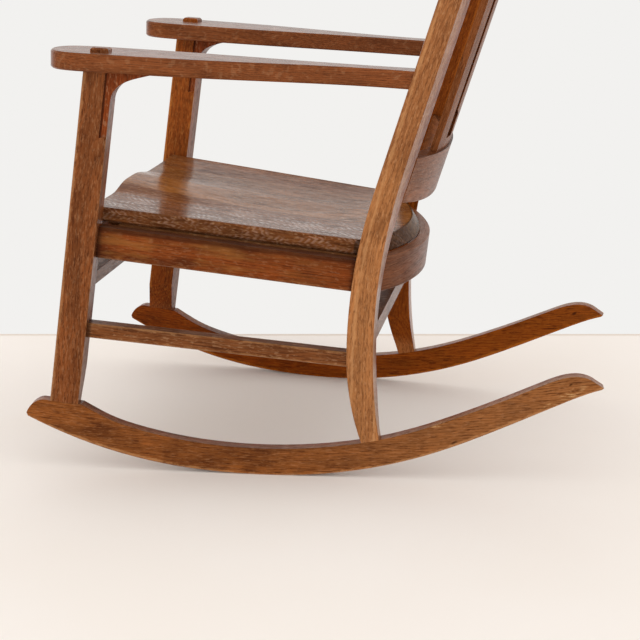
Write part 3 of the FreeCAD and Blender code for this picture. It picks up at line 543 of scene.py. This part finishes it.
# which side frame, the word in the node's name, and the step of the seed
sides = ((1, "left", 0), (-1, "right", 40))


def wearBoth(stem, place, look, seed):
    for side, word, kick in sides:
        wear(stem + "_" + word, lambda net: place(net, side), look, seed + kick)
    print("dressed left and right:", stem)


postGrain = {"streakLong": 13.0, "streakWide": 1.6, "glintLong": 11.0, "glintWide": 1.4}

frontPostOak = {
    "tone": (112, 63, 32), "gloss": 0.40, "heart": (150.0, 70.0), "grain": postGrain,
    "streaks": 0.7, "glints": 0.45, "fleck": 0.15, "edges": (-36.0, 0.0, -21.2, 21.2, 0.4),
    # painted shade on the inner face, darkest low down under the seat
    "inner": (-36.0, (1.3, 1.05, 0.55, 1.0), (0.8, 0.55, 0.2, 1.0), 230.0, 400.0),
}


def frontPostPlace(net, side):
    return leaning(net, side, layout["frontLean"], layout["frontFootY"])


wearBoth("front_post", frontPostPlace, frontPostOak, 1)

rearPostOak = {
    "tone": (147, 97, 58), "gloss": 0.36, "heart": (120.0, -60.0), "grain": postGrain,
    "streaks": 0.6, "glints": 0.5, "fleck": 0.2, "sheen": 0.99, "edges": (-35.0, 0.0, -17.0, 17.0, 0.4),
    # painted shade on the inner face, a little darker low down
    "inner": (-35.0, (0.62, 0.36, 0.1, 1.0), (0.56, 0.31, 0.085, 1.0), 230.0, 400.0),
    "fade": (420.0, 540.0, 0.5, (139, 85, 49)),
}
wearBoth("rear_post", bentPost, rearPostOak, 2)

sideRailOak = {
    "tone": (107, 52, 19), "gloss": 0.42, "heart": (70.0, -120.0),
    "grain": {"streakLong": 40.0, "streakWide": 2.0},
    "clouds": 0.8, "streaks": 0.55, "glints": 0.25, "fleck": 0.15,
    # ends: dust and painted shade at the posts; seam: darker along the top, under the seat plank's overhang
    "edges": (-37.0, -13.0, -46.0, 0.0, 0.25), "ends": (-306.0, 67.0, 9.0), "seam": (0.0, 9.0),
    "blotch": (60.0, -90.0, 0.45, (142, 94, 46)),
}


def sideRailPlace(net, side):
    return levelBar(net, side, layout["seatSlope"], 0.0, layout["seatTopZ"])


wearBoth("side_rail", sideRailPlace, sideRailOak, 3)

sideTieOak = {
    "tone": (105, 61, 32), "gloss": 0.45, "heart": (90.0, 60.0),
    "grain": {"streakLong": 44.0, "streakWide": 2.0, "glintLong": 30.0, "glintWide": 1.6},
    # ends: dust and painted shade where the stretcher meets the posts
    "streaks": 0.7, "glints": 0.42, "edges": (-30.0, -8.0, -11.0, 11.0, 0.4), "ends": (0.0, 383.0, 5.0),
    "slope": 5.2, "start": (-323.0, 213.5),
}


def sideTiePlace(net, side):
    return levelBar(net, side, sideTieOak["slope"], *sideTieOak["start"])


wearBoth("side_stretcher", sideTiePlace, sideTieOak, 4)

rockerOak = {
    "tone": (121, 70, 32), "gloss": 0.42, "heart": (100.0, -40.0),
    "grain": {"streakLong": 24.0, "streakWide": 1.9, "glintLong": 14.0, "glintWide": 1.6},
    "clouds": 0.7, "streaks": 0.75, "glints": 0.4, "fleck": 0.08,
    "edges": (-20.0, 0.0, 0.0, 400.0, 0.55),   # only the under edge is rubbed: 400 lies far above
    "fade": (-80.0, 380.0, 0.5, (153, 103, 62)),
    # painted shade on the inner face, darker toward the front
    "inner": (-20.0, (0.85, 0.53, 0.14, 1.0), (0.75, 0.46, 0.12, 1.0), -200.0, 100.0),
}
rockerMarks = {
    "left": {"knots": ((470.0, 24.0, 1.6), (294.0, 4.0, 2.6)),
             "scuffs": ((474.0, 10.0, 9.0), (440.0, 4.0, 6.0), (268.0, 40.0, 4.0))},
    "right": {"knots": ((470.0, 20.0, 2.6),)},
}
for side, word, kick in sides:
    rockerLook = dict(rockerOak, level=lambda net: rockerHeight(net, side), **rockerMarks[word])
    wear("rocker_" + word, lambda net: sawnRocker(net, side), rockerLook, 5 + kick)
print("rockers dressed")

armOak = {
    "tone": (112, 63, 34), "gloss": 0.30, "heart": (40.0, 160.0), "glints": 0.25, "fleck": 0.15,
    "slope": 2.8, "start": (0.0, 600.0),
}


def armPlace(net, side):
    return levelBar(net, side, armOak["slope"], *armOak["start"])


wearBoth("arm", armPlace, armOak, 6)

corbelOak = {
    # the seam is painted shade in the joint with the post
    "tone": (112, 52, 20), "gloss": 0.42, "heart": (80.0, 90.0), "grain": postGrain, "seam": (-16.0, 2.2),
}


def corbelPlace(net, side):
    return leaning(net, side, layout["frontLean"], layout["corbelFootY"])


wearBoth("arm_corbel", corbelPlace, corbelOak, 7)

frontRailOak = {"tone": (106, 56, 27), "gloss": 0.42, "heart": (120.0, 60.0), "middle": (-330.0, 340.0)}
wear("front_rail", lambda net: crossBar(net, *frontRailOak["middle"]), frontRailOak, 11)

crossTieOak = {
    "tone": (108, 66, 38), "gloss": 0.34, "heart": (120.0, 30.0), "sheen": 0.594, "specular": 0.03,
    "frontMiddle": (-330.0, 287.0), "rearMiddle": (75.0, 214.0),
}
wear("front_stretcher", lambda net: crossBar(net, *crossTieOak["frontMiddle"]), crossTieOak, 12)
wear("rear_stretcher", lambda net: crossBar(net, *crossTieOak["rearMiddle"]), crossTieOak, 13)
print("cross members dressed")

bentOak = {
    "tone": (118, 70, 40), "gloss": 0.34, "heart": (140.0, -70.0), "glints": 0.3, "fleck": 0.15,
    "sheen": 0.396, "specular": 0.02,
}
crestHeart = (120.0, 330.0)


def bandHeight(net):
    return backBand(net)[2]


# painted shade: the top of the lower rail painted darker, with less sheen
paintedShadeTop = {"spot": bandHeight, "mask": (-1.8, -0.4), "tone": (0.5, 0.46, 0.46, 1.0), "dulling": 0.3}
wear("lower_back_rail", backBand, dict(bentOak, face=paintedShadeTop), 14)
wear("crest_rail", backBand, dict(bentOak, heart=crestHeart), 15)

splatOak = {
    "tone": (120, 70, 38), "gloss": 0.34, "heart": (30.0, 190.0), "glints": 0.25, "fleck": 0.15,
    "sheen": 0.198, "specular": 0.02,
    # painted shade: the walls of the slots painted darker, with less sheen
    "face": {"spot": slotWall, "mask": (0.0, 1.0), "tone": (0.28, 0.22, 0.18, 1.0), "dulling": 0.8},
}
wear("back_splat", uprightSplat, splatOak, 16)


def apronHeight(net):
    return apronBand(net)[2]


apronOak = {
    "tone": (100, 57, 32), "gloss": 0.36, "heart": (130.0, 60.0), "glints": 0.25, "fleck": 0.08,
    "sheen": 0.3795,
    # painted sheen: the top is painted paler and greyer
    "face": {"spot": apronHeight, "mask": (-4.0, -0.6), "tone": (1.35, 1.45, 1.6, 1.0), "dulling": 0.0},
}
wear("rear_apron", apronBand, apronOak, 17)
print("back and apron dressed")


def apronDepth(net):
    return apronBand(net)[1]


seatOak = {
    "gloss": 0.24, "streaks": 0.6, "fleck": 0.45, "sheen": 0.858, "specular": 0.012, "even": 0.4,
    "toe": 0.0885, "rimPale": (166.0, 184.0), "rimDull": (170.0, 190.0),
    "grain": {"ringGap": 11.0, "streakLong": 42.0, "streakWide": 4.0, "glintLong": 16.0, "glintWide": 3.0},
    # painted shade: the seat's edge beside the apron painted darker and greyer, with less sheen
    "face": {"spot": apronDepth, "mask": (-33.5, -31.5), "tone": (0.42, 0.48, 0.6, 1.0), "dulling": 0.8},
}
seatBoards = [
    {"tone": (111, 65, 32), "heart": (-180.0, -260.0)},
    {"tone": (120, 74, 36), "heart": (-110.0, -90.0)},
    {"tone": (129, 81, 38), "heart": (-200.0, -30.0), "sheen": 0.759,
     "chevron": (44.0, 13.0, 0.3, -60.0, 60.0)},
    {"tone": (112, 66, 33), "heart": (-120.0, 150.0), "sheen": 0.693,
     "chevron": (34.0, 10.0, 0.8, 40.0, 100.0)},
    {"tone": (106, 63, 34), "heart": (-60.0, 260.0), "sheen": 0.594,
     "chevron": (30.0, 9.0, 0.85, 60.0, 120.0)},
]
for number, board in enumerate(seatBoards):
    wear("seat_board_" + str(number + 1), seatPlank, dict(seatOak, **board), 21 + number)
print("seat boards dressed:", len(seatBoards))

hiddenOak = {"tone": (104, 66, 36), "gloss": 0.6, "heart": (80.0, 40.0), "sheen": 0.165}
for number, node in enumerate(("seat_cleat_left", "seat_cleat_right", "seat_cleat_front", "rocker_dowels")):
    wear(node, seatPlank, hiddenOak, 31 + number)
print("cleats and dowels dressed")

screwLook = {
    "steel": (0.36, 0.35, 0.33, 1.0), "brown": (0.16, 0.10, 0.06, 1.0), "patches": (0.45, 0.7), "scale": 0.9,
    "rough": 0.3, "dulling": 0.3,
}


def screwMaterial():
    # plain steel dulled by handling, with a little brown in patches
    material, net = newNet("screwSteel")
    x, y, z = sideCoords(net, 0)
    scale = screwLook["scale"]
    dull = net.noise(x * scale, y * scale, z * scale, 3.0)
    colour = net.mix(dull.rise(*screwLook["patches"]), screwLook["steel"], screwLook["brown"])
    rough = dull * screwLook["dulling"] + screwLook["rough"]
    net.finish(net.node("ShaderNodeBsdfPrincipled", None, {
        "Base Color": colour, "Metallic": 1.0, "Roughness": rough}))
    return material


nodes["seat_screws"].data.materials.clear()
nodes["seat_screws"].data.materials.append(screwMaterial())
print("screws dressed")

# metres and degrees; the heading is turned from the chair's side
cameraLook = {
    "place": (2.2619, 0.3818, 0.8373), "down": 16.1765, "heading": 10.227, "lens": 84.375, "sensor": 36.0,
}


def makeCamera():
    data = bpy.data.cameras.new("camera")
    data.sensor_width = cameraLook["sensor"]
    data.lens = cameraLook["lens"]
    camera = bpy.data.objects.new("camera", data)
    camera.location = cameraLook["place"]
    tilt, turn = 90.0 - cameraLook["down"], 90.0 + cameraLook["heading"]
    camera.rotation_euler = (math.radians(tilt), 0.0, math.radians(turn))
    bpy.context.scene.collection.objects.link(camera)
    bpy.context.scene.camera = camera


# metres ahead of and beside the camera; the floor ends far ahead, in a thin line of painted shade at the
# wall
floorLook = {
    "near": -6.0, "far": 2.789, "wide": 7.0, "lineStart": 0.018, "lineFull": 0.004, "lineShare": 0.7,
    "colour": linear(245, 241, 239), "cloud": linear(241, 235, 230), "cornerShadeColour": linear(216, 202, 190),
    "cloudScale": 2.2, "cloudMask": (0.35, 0.7), "cloudShare": 0.35, "rough": 0.75, "specular": 0.06,
}


def makeFloor():
    # one flat sheet, square to the camera's heading
    heading = math.radians(180.0 + cameraLook["heading"])
    ahead = Vector((math.cos(heading), math.sin(heading), 0.0))
    beside = Vector((-ahead.y, ahead.x, 0.0))
    stand = Vector((*cameraLook["place"][:2], 0.0))
    near, far, wide = floorLook["near"], floorLook["far"], floorLook["wide"]
    steps = ((near, -wide), (near, wide), (far, wide), (far, -wide))
    mesh = bpy.data.meshes.new("floor")
    mesh.from_pydata([tuple(stand + ahead * a + beside * b) for a, b in steps], [], [(3, 2, 1, 0)])
    mesh.update()
    floor = bpy.data.objects.new("floor", mesh)
    bpy.context.scene.collection.objects.link(floor)
    material, net = newNet("paleFloor")
    x, y, z = net.split(net.node("ShaderNodeTexCoord", None, None, "Object"))
    scale = floorLook["cloudScale"]
    cloud = net.noise(x * scale, y * scale, 0.0, 3.0).rise(*floorLook["cloudMask"])
    colour = net.mix(cloud * floorLook["cloudShare"], floorLook["colour"], floorLook["cloud"])
    gone = (x - stand.x) * ahead.x + (y - stand.y) * ahead.y   # metres ahead of the camera
    # painted shade: a thin darker line where the floor meets the wall
    wallCornerShade = gone.rise(far - floorLook["lineStart"], far - floorLook["lineFull"])
    colour = net.mix(wallCornerShade * floorLook["lineShare"], colour, floorLook["cornerShadeColour"])
    net.finish(net.node("ShaderNodeBsdfPrincipled", None, {
        "Base Color": colour, "Roughness": floorLook["rough"], "Specular IOR Level": floorLook["specular"]}))
    mesh.materials.append(material)


# each side's light, and where it begins and is full on the direction's own coordinate
roomLook = {
    "behind": (0.98, 0.94, 0.885, 1.0), "beside": (0.885, 0.85, 0.80, 1.0), "besideMask": (0.15, 0.75),
    "front": (1.28, 1.24, 1.17, 1.0), "frontMask": (0.70, 0.95),
    "rear": (0.78, 0.775, 0.77, 1.0), "rearMask": (-0.2, 0.8),   # this one and the next dim what they cover
    "top": (0.6, 0.6, 0.6, 1.0), "topMask": (0.1, 0.9),
    "strength": 1.63, "wall": linear(242, 241, 239),
}


def makeRoom():
    # a pale room, brightest from the camera's side and dimmer toward the chair's back and straight above
    world = bpy.data.worlds.new("paleRoom")
    world.use_nodes = True
    bpy.context.scene.world = world
    net = Net(world.node_tree)
    x, y, z = net.split(net.node("ShaderNodeTexCoord", None, None, "Generated"))
    light = net.mix(x.rise(*roomLook["besideMask"]), roomLook["behind"], roomLook["beside"])
    light = net.mix(x.rise(*roomLook["frontMask"]), light, roomLook["front"])
    light = net.mix(y.rise(*roomLook["rearMask"]), light, roomLook["rear"], "MULTIPLY")
    light = net.mix(z.rise(*roomLook["topMask"]), light, roomLook["top"], "MULTIPLY")
    # what is looked at, mirrored or seen through glass is the plain wall
    rays = [net.node("ShaderNodeLightPath", None, None, kind)
            for kind in ("Is Camera Ray", "Is Glossy Ray", "Is Transmission Ray")]
    seen = rays[0].most(rays[1]).most(rays[2])
    net.finish(net.node("ShaderNodeBackground", None, {
        "Color": net.mix(seen, light, roomLook["wall"]),
        "Strength": roomLook["strength"] - seen * (roomLook["strength"] - 1.0)}), "ShaderNodeOutputWorld")


lampLook = {
    "place": (0.6, 0.3, 2.6), "target": (0.0, 0.0, 0.3), "size": 2.4, "power": 4.5,
    "colour": (1.0, 0.985, 0.96),
}


def makeLamp():
    data = bpy.data.lights.new("softTop", "AREA")
    data.shape = "SQUARE"
    data.size = lampLook["size"]
    data.energy = lampLook["power"]
    data.color = lampLook["colour"]
    lamp = bpy.data.objects.new("softTop", data)
    lamp.location = lampLook["place"]
    aim = Vector(lampLook["target"]) - Vector(lampLook["place"])
    lamp.rotation_euler = aim.to_track_quat("-Z", "Y").to_euler()
    bpy.context.scene.collection.objects.link(lamp)


makeFloor()
makeRoom()
makeLamp()
makeCamera()
bpy.context.scene.view_settings.view_transform = "Standard"
print("floor, room, lamp and camera ready")
